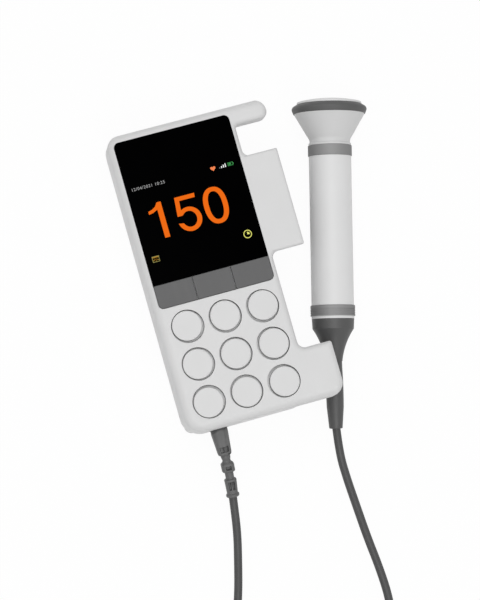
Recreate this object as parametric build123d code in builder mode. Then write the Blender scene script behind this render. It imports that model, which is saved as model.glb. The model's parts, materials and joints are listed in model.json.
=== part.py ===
"""Hand-held fetal doppler: a flat display unit with a corded ultrasound probe lying beside it.

The unit lies on its back, so its display and keys face up.  Millimetres; X runs across the unit,
Y runs towards the display end, Z runs up through the display.  The origin is the middle of the
unit's flat rear face.
"""
import os
from math import asin, atan2, cos, degrees, pi, radians, sin, tan

from build123d import *

os.makedirs("parts", exist_ok=True)

# ---------------------------------------------------------------- driving dimensions: the unit
BODY_WIDTH = 59.2
BODY_LENGTH = 140.0
BODY_DEPTH = 30.0
PARTING_Z = 13.0            # height of the joint between the two covers
FRONT_WALL = 2.0
REAR_WALL = 3.0
FACE_PLATE = 2.6            # thickness of the front cover behind its face
REAR_PLATE = 2.0
REAR_TAPER = 5.0            # degrees that the rear cover's sides lean in
REAR_EDGE = 4.0             # rounding of the rear cover's lower edge
FACE_EDGE = 2.7             # rounding of the front cover's upper edge on the grip side
CROWN_EDGE = 4.1            # broader rounding along its left, top and foot edges
TOP_CORNER = 6.0            # plan radius of the corners beside the display
FOOT_CORNER = 9.0           # plan radius of the corners beside the keypad
RUNNING_GAP = 0.15

# the three arms on the right, behind which the probe is stowed
ARM_UNDERSIDE_Z = 23.0
TOP_ARM_WIDTH = 9.4
TOP_ARM_REACH = 45.6
TAB_UNDERSIDE_Z = 27.1
TAB_LOW_Y = 0.3
TAB_HIGH_Y = 45.95
TAB_REACH = 45.1
TAB_TIP_EDGE = 1.3          # rounding of the tab's outer end
TAB_ROOT = 3.0              # hollow corners where the tab leaves the body
FOOT_ARM_WIDTH = 24.65
FOOT_ARM_REACH = 44.8
ARM_ROOT = 10.0             # how far inside the body the arms' outlines start
LIP_LOW_Y = 4.1             # rear lip of the probe bay
LIP_HIGH_Y = 45.1
LIP_REACH = 44.6
LIP_THICKNESS = 2.5

# display window and the soft keys under it share one shallow recess
WINDOW_WIDTH = 54.3
WINDOW_X = 0.3
WINDOW_TOP_Y = 66.35
WINDOW_FOOT_Y = -0.9
SOFT_FOOT_Y = -11.95
RECESS_DEPTH = 1.5
WINDOW_CORNER = 2.5
WINDOW_GAP = 0.1
APERTURE_WIDTH = 47.0
APERTURE_HEIGHT = 55.0
SOFT_KEYS = 3
SOFT_GAP = 0.25
SOFT_SUNK = 0.05            # how far the soft keys lie below the window
SOFT_TRAVEL = 0.5

# round keys
KEY_PITCH = 17.62
CAP_PITCH = 17.92           # the caps sit a little outwards in their openings
KEY_X = 0.95
KEY_Y = -39.92
KEY_HOLE_RADIUS = 7.58
KEY_SKIRT_RADIUS = 7.35
KEY_SKIRT_SUNK = 2.0        # depth of the groove that rings each key
KEY_RADIUS = 6.84
KEY_PROUD = 0.5
KEY_FLANGE_RADIUS = 8.2
KEY_FLANGE = 0.8
KEY_TRAVEL = 0.8
KEY_DOME_RADIUS = 3.2
SOFT_DOME_RADIUS = 2.4

# inside
BOARD_UNDERSIDE_Z = 22.4
BOARD_THICKNESS = 1.6
MAT_THICKNESS = 1.0
BOSS_X = 24.2
BOSS_Y = 64.6
BOSS_RADIUS = 3.0
SCREW_RADIUS = 1.25
SCREW_HOLE_RADIUS = 1.3
SCREW_HEAD_RADIUS = 2.3
COUNTERBORE_RADIUS = 2.5
COUNTERBORE_DEPTH = 7.0
BATTERY_WIDTH = 38.0
BATTERY_LENGTH = 45.0
BATTERY_THICKNESS = 9.0
BATTERY_Y = -33.0
DOOR_WIDTH = 40.0
DOOR_TOP_Y = -10.0
DOOR_RAIL = 1.2
DOOR_SUNK = 0.2
RIDGES = 5                  # thumb ridges across the door
RIDGE_PITCH = 2.4
RIDGE_LENGTH = 18.0
RIDGE_WIDTH = 1.0
RIDGE_Y = -61.8             # the ridge nearest the foot
SPEAKER_Y = 40.0
SPEAKER_RADIUS = 14.0
SOUND_HOLE_RADIUS = 0.9
SOUND_RING_PITCH = 3.4
CHARGE_X = -8.0
CHARGE_WIDTH = 9.0
CHARGE_HEIGHT = 3.4
CHARGE_GAP = 0.2

# ---------------------------------------------------------------- driving dimensions: the probe
PROBE_TURN = 14.55          # degrees clockwise from +Y, seen from above
PROBE_X = 52.6              # axis at the middle of the lower collar
PROBE_Y = -30.85
FLOOR_GAP = 0.05
RIM_RADIUS = 17.35
RIM_STATION = 92.8          # stations run along the probe from the lower collar to the face
COLLAR_RADIUS = 10.15
LOWER_COLLAR_RADIUS = 10.3
TUBE_RADIUS = 9.8
TUBE_WALL = 1.8
THROAT_RADIUS = 9.36
HORN_FOOT_RADIUS = 9.85     # the horn's low flange on the upper collar
LOWER_COLLAR = (-3.15, 1.85)
UPPER_COLLAR = (70.75, 75.8)
SPACER_RADIUS = 9.85
SPACER_END = -4.35
GRIP_GROOVES = (-2.2, -1.1, 0.0)   # stations of the lower collar's grooves
RIM_FOOT = 90.35
RIM_FOOT_RADIUS = 16.3
RIM_TOP = 94.9              # the dome stands a little out of the ring
DOME_EDGE = 95.85
DOME_RISE = 1.75
DOME_RADIUS = 15.0
DOME_ROUND = 0.5
SHOULDER_RADIUS = 9.8       # the boot next to the spacer ring
SHOULDER_END = -9.0
BOOT_NECK = -24.0
BOOT_END_X = 39.65
BOOT_END_Y = -83.8
BOOT_END_Z = 4.4

# ---------------------------------------------------------------- driving dimensions: the cord
CORD_RADIUS = 1.9
CORD_EMBED = 2.0            # how far the cord runs into each strain relief
PLUG_X = -14.15
PLUG_Z = 15.0
PLUG_FLANGE = 0.9
PLUG_FLANGE_RADIUS = 3.95
PLUG_RADIUS = 2.8
PLUG_LENGTH = 7.5
SOCKET_RADIUS = 4.4
SOCKET_BORE_RADIUS = 2.9
SOCKET_LENGTH = 10.0
SOCKET_GAP = 0.2
PLUG_BEND = (-14.15, -81.75, 12.6)
PLUG_END = (-15.15, -100.55, 6.6)
COIL_X = -5.65
COIL_Y = -188.55
COIL_OUTER_LANE = 28.4
COIL_INNER_LANE = 14.47
COIL_TOP_Z = 3 * CORD_RADIUS

face_z = BODY_DEPTH
plate_z = face_z - FACE_PLATE
recess_z = face_z - RECESS_DEPTH
board_top_z = BOARD_UNDERSIDE_Z + BOARD_THICKNESS
half_width = BODY_WIDTH / 2
half_length = BODY_LENGTH / 2
window_height = WINDOW_TOP_Y - WINDOW_FOOT_Y
window_y = (WINDOW_TOP_Y + WINDOW_FOOT_Y) / 2
recess_height = WINDOW_TOP_Y - SOFT_FOOT_Y
recess_y = (WINDOW_TOP_Y + SOFT_FOOT_Y) / 2
soft_y = (WINDOW_FOOT_Y + SOFT_FOOT_Y) / 2
soft_height = WINDOW_FOOT_Y - SOFT_FOOT_Y
soft_pitch = WINDOW_WIDTH / SOFT_KEYS


def keep(piece, name):
    """Label a finished piece and write it."""
    piece.part.label = name
    export_step(piece.part, f"parts/{name}.step")


def round_corners(sketch, corners):
    """Round chosen corners of a sketch, each given as ((x, y), radius)."""
    for place, radius in corners:
        fillet(sketch.vertices().sort_by_distance((*place, 0))[:1], radius=radius)


def body_corners(arms):
    """Corners of the body's plan; those behind an arm are rounded only where there is no arm."""
    corners = [
        ((-half_width, half_length), TOP_CORNER),
        ((-half_width, -half_length), FOOT_CORNER),
    ]
    if not arms:
        corners.append(((half_width, half_length), TOP_CORNER))
        corners.append(((half_width, -half_length), FOOT_CORNER))
    return corners


def arm(low_y, high_y, reach):
    """Plan of one arm, from inside the body out to its reach."""
    with Locations(((ARM_ROOT + reach) / 2, (low_y + high_y) / 2)):
        Rectangle(reach - ARM_ROOT, high_y - low_y)


def key_grid(pitch):
    """Middles of the three rows of three round keys."""
    return [
        (KEY_X + column * pitch, KEY_Y - row * pitch)
        for row in (-1, 0, 1)
        for column in (-1, 0, 1)
    ]


top_arm_low_y = half_length - TOP_ARM_WIDTH
foot_arm_high_y = -half_length + FOOT_ARM_WIDTH
arm_corners = [
    ((TOP_ARM_REACH, half_length), 5.6),
    ((TOP_ARM_REACH, top_arm_low_y), 3.75),
    ((half_width, top_arm_low_y), 1.5),
    ((FOOT_ARM_REACH, foot_arm_high_y), 1.1),
    ((FOOT_ARM_REACH, -half_length), 6.5),
    ((half_width, foot_arm_high_y), 3.4),
]
tab_corners = [
    ((TAB_REACH, TAB_HIGH_Y), 0.6),
    ((TAB_REACH, TAB_LOW_Y), 0.6),
    ((half_width, TAB_HIGH_Y), TAB_ROOT),
    ((half_width, TAB_LOW_Y), TAB_ROOT),
]
key_places = key_grid(KEY_PITCH)
cap_places = key_grid(CAP_PITCH)
soft_places = [
    (WINDOW_X + (index - 1) * soft_pitch, soft_y)
    for index in range(SOFT_KEYS)
]
boss_places = [
    (side * BOSS_X, end * BOSS_Y)
    for end in (1, -1)
    for side in (-1, 1)
]

# ---------------------------------------------------------------- front cover
with BuildPart() as front_cover:
    # plain side walls under the arms
    with BuildSketch(Plane.XY.offset(PARTING_Z)) as wall_plan:
        Rectangle(BODY_WIDTH, BODY_LENGTH)
        round_corners(wall_plan, body_corners(arms=False))
    extrude(amount=ARM_UNDERSIDE_Z - PARTING_Z)
    # the top and foot arms
    with BuildSketch(Plane.XY.offset(ARM_UNDERSIDE_Z)) as arm_plan:
        Rectangle(BODY_WIDTH, BODY_LENGTH)
        arm(top_arm_low_y, half_length, TOP_ARM_REACH)
        arm(-half_length, foot_arm_high_y, FOOT_ARM_REACH)
        round_corners(arm_plan, body_corners(arms=True) + arm_corners)
    extrude(amount=TAB_UNDERSIDE_Z - ARM_UNDERSIDE_Z)
    # the face, with the thin tab between them
    with BuildSketch(Plane.XY.offset(TAB_UNDERSIDE_Z)) as face_plan:
        Rectangle(BODY_WIDTH, BODY_LENGTH)
        arm(top_arm_low_y, half_length, TOP_ARM_REACH)
        arm(-half_length, foot_arm_high_y, FOOT_ARM_REACH)
        arm(TAB_LOW_Y, TAB_HIGH_Y, TAB_REACH)
        round_corners(face_plan, body_corners(arms=True) + arm_corners + tab_corners)
    extrude(amount=face_z - TAB_UNDERSIDE_Z)
    top_edges = front_cover.faces().sort_by(Axis.Z)[-1].outer_wire().edges()
    fillet(top_edges, radius=FACE_EDGE)
    # the left, top and foot edges are rounded more broadly
    with BuildPart(mode=Mode.PRIVATE) as crown:
        with BuildSketch(Plane.XY.offset(PARTING_Z)) as crown_plan:
            with Locations((half_width, 0)):
                Rectangle(2 * BODY_WIDTH, BODY_LENGTH)
            round_corners(crown_plan, body_corners(arms=True))
        extrude(amount=face_z - PARTING_Z)
        crown_edges = crown.faces().sort_by(Axis.Z)[-1].outer_wire().edges().sort_by(Axis.X)[:-1]
        fillet(crown_edges, radius=CROWN_EDGE)
    add(crown.part, mode=Mode.INTERSECT)
    # the tab's own plate: crisp along its sides, rounded at its outer end
    with BuildPart(mode=Mode.PRIVATE) as tab_plate:
        with BuildSketch(Plane.XY.offset(TAB_UNDERSIDE_Z)):
            arm(TAB_LOW_Y, TAB_HIGH_Y, TAB_REACH)
        extrude(amount=face_z - TAB_UNDERSIDE_Z)
        tip_edges = tab_plate.faces().sort_by(Axis.X)[-1].edges().filter_by(Axis.Z)
        fillet(tip_edges, radius=0.6)
        tip_top = tab_plate.faces().sort_by(Axis.Z)[-1].edges().filter_by(Axis.Y).sort_by(Axis.X)[-1]
        fillet(tip_top, radius=TAB_TIP_EDGE)
    add(tab_plate.part)
    # cavity
    with BuildSketch(Plane.XY.offset(PARTING_Z)):
        RectangleRounded(BODY_WIDTH - 2 * FRONT_WALL, BODY_LENGTH - 2 * FRONT_WALL, 5.5)
    extrude(amount=plate_z - PARTING_Z, mode=Mode.SUBTRACT)
    # recess for the window and the soft keys, the display aperture and the key openings
    with BuildSketch(Plane.XY.offset(recess_z)):
        with Locations((WINDOW_X, recess_y)):
            RectangleRounded(
                WINDOW_WIDTH + 2 * WINDOW_GAP, recess_height + 2 * WINDOW_GAP, WINDOW_CORNER
            )
    extrude(amount=RECESS_DEPTH, mode=Mode.SUBTRACT)
    with BuildSketch(Plane.XY.offset(plate_z)):
        with Locations((WINDOW_X, window_y)):
            Rectangle(APERTURE_WIDTH, APERTURE_HEIGHT)
        with Locations(*soft_places):
            Rectangle(soft_pitch - 5, soft_height - 4)
        with Locations(*key_places):
            Circle(KEY_HOLE_RADIUS)
    extrude(amount=FACE_PLATE, mode=Mode.SUBTRACT)
    # screw bosses, which also carry the main board
    with BuildSketch(Plane.XY.offset(PARTING_Z + 2)):
        with Locations(*boss_places):
            Circle(BOSS_RADIUS)
            Circle(SCREW_HOLE_RADIUS, mode=Mode.SUBTRACT)
    extrude(amount=BOARD_UNDERSIDE_Z - PARTING_Z - 2)
    # half openings for the probe socket and the charging socket
    with Locations((PLUG_X, -half_length, PLUG_Z)):
        Cylinder(SOCKET_RADIUS + SOCKET_GAP, 12, rotation=(90, 0, 0), mode=Mode.SUBTRACT)
    with Locations((CHARGE_X, half_length, PARTING_Z)):
        Box(CHARGE_WIDTH + 2 * CHARGE_GAP, 12, CHARGE_HEIGHT + 2 * CHARGE_GAP, mode=Mode.SUBTRACT)
keep(front_cover, "front_cover")

# ---------------------------------------------------------------- rear cover and battery door
door_low_y = -half_length - 1
door_length = DOOR_TOP_Y - door_low_y
door_mid_y = (DOOR_TOP_Y + door_low_y) / 2
rail_width = DOOR_WIDTH + 2 * DOOR_RAIL
rail_low_z = 1.0
bay_wall_width = rail_width + 4
bay_ceiling_z = REAR_PLATE + BATTERY_THICKNESS + 1.0

with BuildPart() as rear_shell:
    with BuildSketch(Plane.XY.offset(PARTING_Z)) as rear_plan:
        Rectangle(BODY_WIDTH, BODY_LENGTH)
        round_corners(rear_plan, body_corners(arms=False))
    extrude(amount=-PARTING_Z, taper=REAR_TAPER)
    fillet(rear_shell.faces().sort_by(Axis.Z)[0].edges(), radius=REAR_EDGE)

with BuildPart() as rear_cover:
    add(rear_shell.part)
    # rear lip of the probe bay
    with BuildSketch() as lip_plan:
        with Locations(((ARM_ROOT + LIP_REACH) / 2, (LIP_LOW_Y + LIP_HIGH_Y) / 2)):
            Rectangle(LIP_REACH - ARM_ROOT, LIP_HIGH_Y - LIP_LOW_Y)
        round_corners(lip_plan, [((LIP_REACH, LIP_LOW_Y), 3.0), ((LIP_REACH, LIP_HIGH_Y), 3.0)])
    extrude(amount=LIP_THICKNESS)
    # cavity, and a tongue that fits inside the front cover's wall
    with BuildSketch(Plane.XY.offset(REAR_PLATE)):
        RectangleRounded(BODY_WIDTH - 2 * REAR_WALL - 2, BODY_LENGTH - 2 * REAR_WALL - 2, 4.5)
    extrude(amount=PARTING_Z - REAR_PLATE, mode=Mode.SUBTRACT)
    with BuildSketch(Plane.XY.offset(PARTING_Z)):
        RectangleRounded(
            BODY_WIDTH - 2 * FRONT_WALL - 2 * RUNNING_GAP,
            BODY_LENGTH - 2 * FRONT_WALL - 2 * RUNNING_GAP,
            5.5 - RUNNING_GAP,
        )
        RectangleRounded(
            BODY_WIDTH - 2 * REAR_WALL - 1.2, BODY_LENGTH - 2 * REAR_WALL - 1.2, 4.5,
            mode=Mode.SUBTRACT,
        )
    extrude(amount=1.6)
    # screw posts and the walls of the battery bay
    with BuildSketch(Plane.XY.offset(REAR_PLATE - 1)):
        with Locations(*boss_places):
            Circle(BOSS_RADIUS + 0.4)
    extrude(amount=PARTING_Z - REAR_PLATE + 1)
    with BuildSketch(Plane.XY.offset(PARTING_Z)):
        with Locations(*boss_places):
            Circle(BOSS_RADIUS - 0.6)
    extrude(amount=1.9)
    with Locations((0, BATTERY_Y, REAR_PLATE)):
        Box(
            bay_wall_width, BATTERY_LENGTH + 6, bay_ceiling_z + 1.4 - REAR_PLATE,
            align=(Align.CENTER, Align.CENTER, Align.MIN),
        )
    with Locations((0, BATTERY_Y, 0)):
        Box(
            BATTERY_WIDTH + 1, BATTERY_LENGTH + 1, bay_ceiling_z,
            align=(Align.CENTER, Align.CENTER, Align.MIN), mode=Mode.SUBTRACT,
        )
    # opening and side grooves for the battery door
    with Locations((0, door_mid_y, 0)):
        Box(
            DOOR_WIDTH + 2 * RUNNING_GAP, door_length + 2 * RUNNING_GAP, 2 * REAR_PLATE,
            mode=Mode.SUBTRACT,
        )
    with Locations((0, door_mid_y, (rail_low_z - RUNNING_GAP + REAR_PLATE) / 2)):
        Box(
            rail_width + 2 * RUNNING_GAP, door_length + 2 * RUNNING_GAP,
            REAR_PLATE - rail_low_z + RUNNING_GAP, mode=Mode.SUBTRACT,
        )
    # screw holes from the rear
    with Locations(*[Location((x, y, 0), (180, 0, 0)) for x, y in boss_places]):
        CounterBoreHole(
            radius=SCREW_RADIUS + 0.2, counter_bore_radius=COUNTERBORE_RADIUS,
            counter_bore_depth=COUNTERBORE_DEPTH, depth=PARTING_Z + 3,
        )
    # sound holes over the speaker
    with BuildSketch():
        with Locations((0, SPEAKER_Y)):
            Circle(SOUND_HOLE_RADIUS)
            for ring in (1, 2, 3):
                with PolarLocations(SOUND_RING_PITCH * ring, 6 * ring):
                    Circle(SOUND_HOLE_RADIUS)
    extrude(amount=REAR_PLATE, mode=Mode.SUBTRACT)
    # half openings for the probe socket and the charging socket
    with Locations((PLUG_X, -half_length, PLUG_Z)):
        Cylinder(SOCKET_RADIUS + SOCKET_GAP, 14, rotation=(90, 0, 0), mode=Mode.SUBTRACT)
    with Locations((CHARGE_X, half_length, PARTING_Z)):
        Box(CHARGE_WIDTH + 2 * CHARGE_GAP, 14, CHARGE_HEIGHT + 2 * CHARGE_GAP, mode=Mode.SUBTRACT)
keep(rear_cover, "rear_cover")

with BuildPart() as battery_door:
    add(rear_shell.part)
    with Locations((0, door_mid_y, DOOR_SUNK)):
        Box(
            DOOR_WIDTH, door_length, REAR_PLATE - RUNNING_GAP - DOOR_SUNK,
            align=(Align.CENTER, Align.CENTER, Align.MIN), mode=Mode.INTERSECT,
        )
    # two short rails a side slide in the cover's grooves
    for rail_y in (-50.0, -20.0):
        with Locations((0, rail_y, (rail_low_z + REAR_PLATE - RUNNING_GAP) / 2)):
            Box(rail_width, 8, REAR_PLATE - RUNNING_GAP - rail_low_z)
    # thumb ridges
    with BuildSketch(Plane.XY.offset(DOOR_SUNK)):
        for ridge in range(RIDGES):
            with Locations((0, RIDGE_Y + ridge * RIDGE_PITCH)):
                SlotOverall(RIDGE_LENGTH, RIDGE_WIDTH)
    extrude(amount=0.5, mode=Mode.SUBTRACT)
keep(battery_door, "battery_door")

# ---------------------------------------------------------------- fasteners
screw_head_z = COUNTERBORE_DEPTH
with BuildPart() as case_screws:
    for place in boss_places:
        with BuildSketch(Plane.XY.offset(screw_head_z - 1.8)):
            with Locations(place):
                Circle(SCREW_HEAD_RADIUS)
        extrude(amount=1.8)
        with BuildSketch(Plane.XY.offset(screw_head_z)):
            with Locations(place):
                Circle(SCREW_RADIUS)
        extrude(amount=BOARD_UNDERSIDE_Z - 1.5 - screw_head_z)
    # cross recess
    with BuildSketch(Plane.XY.offset(screw_head_z - 1.8)):
        with Locations(*boss_places):
            Rectangle(2.6, 0.6)
            Rectangle(0.6, 2.6)
    extrude(amount=1.0, mode=Mode.SUBTRACT)
keep(case_screws, "case_screws")

# ---------------------------------------------------------------- display
with BuildPart() as display_window:
    with BuildSketch(Plane.XY.offset(recess_z)) as window_plan:
        with Locations((WINDOW_X, window_y)):
            Rectangle(WINDOW_WIDTH, window_height)
        window_right = WINDOW_X + WINDOW_WIDTH / 2
        window_left = WINDOW_X - WINDOW_WIDTH / 2
        round_corners(
            window_plan,
            [((window_left, WINDOW_TOP_Y), WINDOW_CORNER), ((window_right, WINDOW_TOP_Y), WINDOW_CORNER)],
        )
    extrude(amount=RECESS_DEPTH)
keep(display_window, "display_window")

panel_z = board_top_z
gasket_z = plate_z - 0.8
with BuildPart() as display_panel:
    with Locations((WINDOW_X, window_y, panel_z)):
        Box(
            APERTURE_WIDTH + 3, APERTURE_HEIGHT + 2, gasket_z - panel_z,
            align=(Align.CENTER, Align.CENTER, Align.MIN),
        )
    fillet(display_panel.edges().filter_by(Axis.Z), radius=1.0)
keep(display_panel, "display_panel")

with BuildPart() as display_gasket:
    with BuildSketch(Plane.XY.offset(gasket_z)):
        with Locations((WINDOW_X, window_y)):
            Rectangle(APERTURE_WIDTH + 3, APERTURE_HEIGHT + 2)
            Rectangle(APERTURE_WIDTH, APERTURE_HEIGHT - 1, mode=Mode.SUBTRACT)
    extrude(amount=plate_z - gasket_z)
keep(display_gasket, "display_gasket")

# ---------------------------------------------------------------- keys
# the strip's two lower outer corners follow the recess
soft_low_y = SOFT_FOOT_Y + SOFT_GAP / 2
soft_reach = WINDOW_WIDTH / 2 - SOFT_GAP / 2
soft_corners = [
    [((WINDOW_X - soft_reach, soft_low_y), WINDOW_CORNER - SOFT_GAP / 2)],
    [],
    [((WINDOW_X + soft_reach, soft_low_y), WINDOW_CORNER - SOFT_GAP / 2)],
]
soft_cap_z = recess_z + SOFT_TRAVEL + 0.1
for index, place in enumerate(soft_places):
    with BuildPart() as soft_key:
        with BuildSketch(Plane.XY.offset(soft_cap_z)) as cap_plan:
            with Locations(place):
                Rectangle(soft_pitch - SOFT_GAP, soft_height - SOFT_GAP)
            round_corners(cap_plan, soft_corners[index])
        extrude(amount=face_z - SOFT_SUNK - soft_cap_z)
        chamfer(soft_key.faces().sort_by(Axis.Z)[-1].edges(), length=0.15)
        # stem through the cover, with a collar that holds the key in
        with BuildSketch(Plane.XY.offset(plate_z - SOFT_TRAVEL)):
            with Locations(place):
                Rectangle(soft_pitch - 6, soft_height - 5)
        extrude(amount=soft_cap_z - plate_z + SOFT_TRAVEL)
        with BuildSketch(Plane.XY.offset(plate_z - 0.9)):
            with Locations(place):
                Rectangle(soft_pitch - 4, soft_height - 3)
        extrude(amount=0.7)
    keep(soft_key, f"soft_key_{index + 1}")

key_flange_z = plate_z - 0.2 - KEY_FLANGE
for index, (place, cap_place) in enumerate(zip(key_places, cap_places)):
    with BuildPart() as round_key:
        with BuildSketch(Plane.XY.offset(key_flange_z)):
            with Locations(place):
                Circle(KEY_FLANGE_RADIUS)
        extrude(amount=KEY_FLANGE)
        with BuildSketch(Plane.XY.offset(key_flange_z)):
            with Locations(place):
                Circle(KEY_SKIRT_RADIUS)
        extrude(amount=face_z - KEY_SKIRT_SUNK - key_flange_z)
        with BuildSketch(Plane.XY.offset(key_flange_z)):
            with Locations(cap_place):
                Circle(KEY_RADIUS)
        extrude(amount=face_z + KEY_PROUD - key_flange_z)
        fillet(round_key.faces().sort_by(Axis.Z)[-1].edges(), radius=0.6)
    keep(round_key, f"round_key_{index + 1}")

# ---------------------------------------------------------------- electronics
board_width = BODY_WIDTH - 2 * FRONT_WALL - 1
board_length = BODY_LENGTH - 2 * FRONT_WALL - 1
with BuildPart() as main_board:
    with BuildSketch(Plane.XY.offset(BOARD_UNDERSIDE_Z)):
        RectangleRounded(board_width, board_length, 5)
    extrude(amount=BOARD_THICKNESS)
    # processor, amplifier, audio coil, charger and the battery connector under the board
    for chip_x, chip_y, chip_width, chip_length, chip_height in (
        (6, 40, 14, 14, 1.4),
        (-14, 44, 8, 10, 1.6),
        (-14, 26, 7, 7, 3.0),
        (16, 20, 9, 7, 1.4),
        (10, -4, 12, 6, 4.0),
    ):
        with Locations((chip_x, chip_y, BOARD_UNDERSIDE_Z)):
            Box(chip_width, chip_length, chip_height, align=(Align.CENTER, Align.CENTER, Align.MAX))
keep(main_board, "main_board")

mat_top_y = WINDOW_FOOT_Y - 0.6
mat_foot_y = KEY_Y - KEY_PITCH - KEY_FLANGE_RADIUS - 0.4
mat_top_z = board_top_z + MAT_THICKNESS
with BuildPart() as key_mat:
    with BuildSketch(Plane.XY.offset(board_top_z)):
        with Locations((0, (mat_top_y + mat_foot_y) / 2)):
            RectangleRounded(board_width - 2, mat_top_y - mat_foot_y, 4)
    extrude(amount=MAT_THICKNESS)
    # one soft dome under each key, just clear of the pressed key
    with BuildSketch(Plane.XY.offset(mat_top_z)):
        with Locations(*key_places):
            Circle(KEY_DOME_RADIUS)
        with Locations(*soft_places):
            Circle(SOFT_DOME_RADIUS)
    extrude(amount=key_flange_z - KEY_TRAVEL - 0.1 - mat_top_z, taper=30)
keep(key_mat, "key_mat")

with BuildPart() as speaker:
    with BuildSketch(Plane.XZ.offset(-SPEAKER_Y)):
        with BuildLine():
            Polyline(
                (0, REAR_PLATE + 1.6), (5, REAR_PLATE + 1.6), (SPEAKER_RADIUS - 2, REAR_PLATE + 0.8),
                (SPEAKER_RADIUS - 2, REAR_PLATE), (SPEAKER_RADIUS, REAR_PLATE),
                (SPEAKER_RADIUS, REAR_PLATE + 1.6), (SPEAKER_RADIUS - 3, REAR_PLATE + 3.2),
                (7, REAR_PLATE + 4.0), (7, REAR_PLATE + 7.0), (0, REAR_PLATE + 7.0), close=True,
            )
        make_face()
    revolve(axis=Axis((0, SPEAKER_Y, 0), (0, 0, 1)))
keep(speaker, "speaker")

with BuildPart() as battery_pack:
    with Locations((0, BATTERY_Y, REAR_PLATE + 0.2)):
        Box(
            BATTERY_WIDTH, BATTERY_LENGTH, BATTERY_THICKNESS,
            align=(Align.CENTER, Align.CENTER, Align.MIN),
        )
    fillet(battery_pack.edges().filter_by(Axis.Y), radius=2.0)
keep(battery_pack, "battery_pack")

with BuildPart() as charge_socket:
    with Locations((CHARGE_X, half_length - 4.8, PARTING_Z)):
        Box(CHARGE_WIDTH, 8.0, CHARGE_HEIGHT)
    fillet(charge_socket.edges().filter_by(Axis.Y), radius=1.5)
    with Locations((CHARGE_X, half_length - 1.8, PARTING_Z)):
        Box(CHARGE_WIDTH - 1.2, 6.0, CHARGE_HEIGHT - 1.2, mode=Mode.SUBTRACT)
    with Locations((CHARGE_X, half_length - 3.3, PARTING_Z)):
        Box(6.4, 3.2, 0.7)
keep(charge_socket, "charge_socket")

# ---------------------------------------------------------------- probe socket, plug and plug boot
socket_plane = Plane(origin=(PLUG_X, -half_length, PLUG_Z), x_dir=(1, 0, 0), z_dir=(0, 1, 0))
with BuildPart() as probe_socket:
    with BuildSketch(socket_plane):
        Circle(SOCKET_RADIUS)
        Circle(SOCKET_BORE_RADIUS, mode=Mode.SUBTRACT)
    extrude(amount=SOCKET_LENGTH)
    with BuildSketch(socket_plane.offset(SOCKET_LENGTH - 1.5)):
        Circle(SOCKET_BORE_RADIUS + 0.6)
    extrude(amount=1.5)
keep(probe_socket, "probe_socket")

with BuildPart() as probe_plug:
    with BuildSketch(socket_plane.offset(-PLUG_FLANGE)):
        Circle(PLUG_FLANGE_RADIUS)
    extrude(amount=PLUG_FLANGE)
    with BuildSketch(socket_plane):
        Circle(PLUG_RADIUS)
    extrude(amount=PLUG_LENGTH)
    fillet(probe_plug.faces().sort_by(Axis.Y)[-1].edges(), radius=0.6)
keep(probe_plug, "probe_plug")


def side_plane(start, end):
    """Plane whose Y axis runs from start to end, for turning a profile about that line."""
    along = (Vector(*end) - Vector(*start)).normalized()
    out = along.cross(Vector(0, 0, 1)).normalized()
    return Plane(origin=start, x_dir=out, z_dir=out.cross(along))


def turned(plane, profile):
    """Turn a closed profile of (radius, station) points about a side plane's Y axis."""
    with BuildSketch(plane) as section:
        with BuildLine():
            Polyline(*profile, close=True)
        make_face()
    revolve(section.sketch, axis=Axis(plane.origin, plane.y_dir))


plug_root = (PLUG_X, -half_length - PLUG_FLANGE, PLUG_Z)
root_plane = side_plane(plug_root, PLUG_BEND)
relief_plane = side_plane(PLUG_BEND, PLUG_END)
root_length = (Vector(*PLUG_BEND) - Vector(*plug_root)).length
relief_length = (Vector(*PLUG_END) - Vector(*PLUG_BEND)).length
with BuildPart() as plug_boot:
    # tapered grip next to the socket
    turned(
        root_plane,
        [
            (0, 0), (PLUG_FLANGE_RADIUS, 0), (3.2, root_length - 0.6),
            (2.9, root_length), (0, root_length),
        ],
    )
    # two shorter blocks joined by flexible necks, then a flange
    turned(
        relief_plane,
        [
            (0, -1.0), (2.05, -1.0), (2.05, 3.2), (3.1, 4.4), (3.0, 8.0), (2.05, 8.2),
            (2.05, 11.3), (2.75, 11.5), (2.5, relief_length - 1.4), (2.95, relief_length - 1.2),
            (2.95, relief_length - 0.2), (2.7, relief_length), (0, relief_length),
        ],
    )
keep(plug_boot, "plug_boot")

# ---------------------------------------------------------------- probe
rim_span = RIM_STATION - LOWER_COLLAR[0]
probe_tilt = degrees(atan2(RIM_RADIUS - LOWER_COLLAR_RADIUS, rim_span))
probe_along = Vector(
    sin(radians(PROBE_TURN)) * cos(radians(probe_tilt)),
    cos(radians(PROBE_TURN)) * cos(radians(probe_tilt)),
    sin(radians(probe_tilt)),
)
probe_z = (
    LOWER_COLLAR_RADIUS * cos(radians(probe_tilt))
    - LOWER_COLLAR[0] * sin(radians(probe_tilt))
    + FLOOR_GAP
)
probe_origin = Vector(PROBE_X, PROBE_Y, probe_z)
probe_plane = side_plane(probe_origin, probe_origin + probe_along)
ball_radius = (DOME_RADIUS**2 + DOME_RISE**2) / (2 * DOME_RISE)
dome_half_angle = asin(DOME_RADIUS / ball_radius) / 2
dome_top = DOME_EDGE + DOME_RISE
dome_middle = (
    ball_radius * sin(dome_half_angle),
    dome_top - ball_radius * (1 - cos(dome_half_angle)),
)

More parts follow.
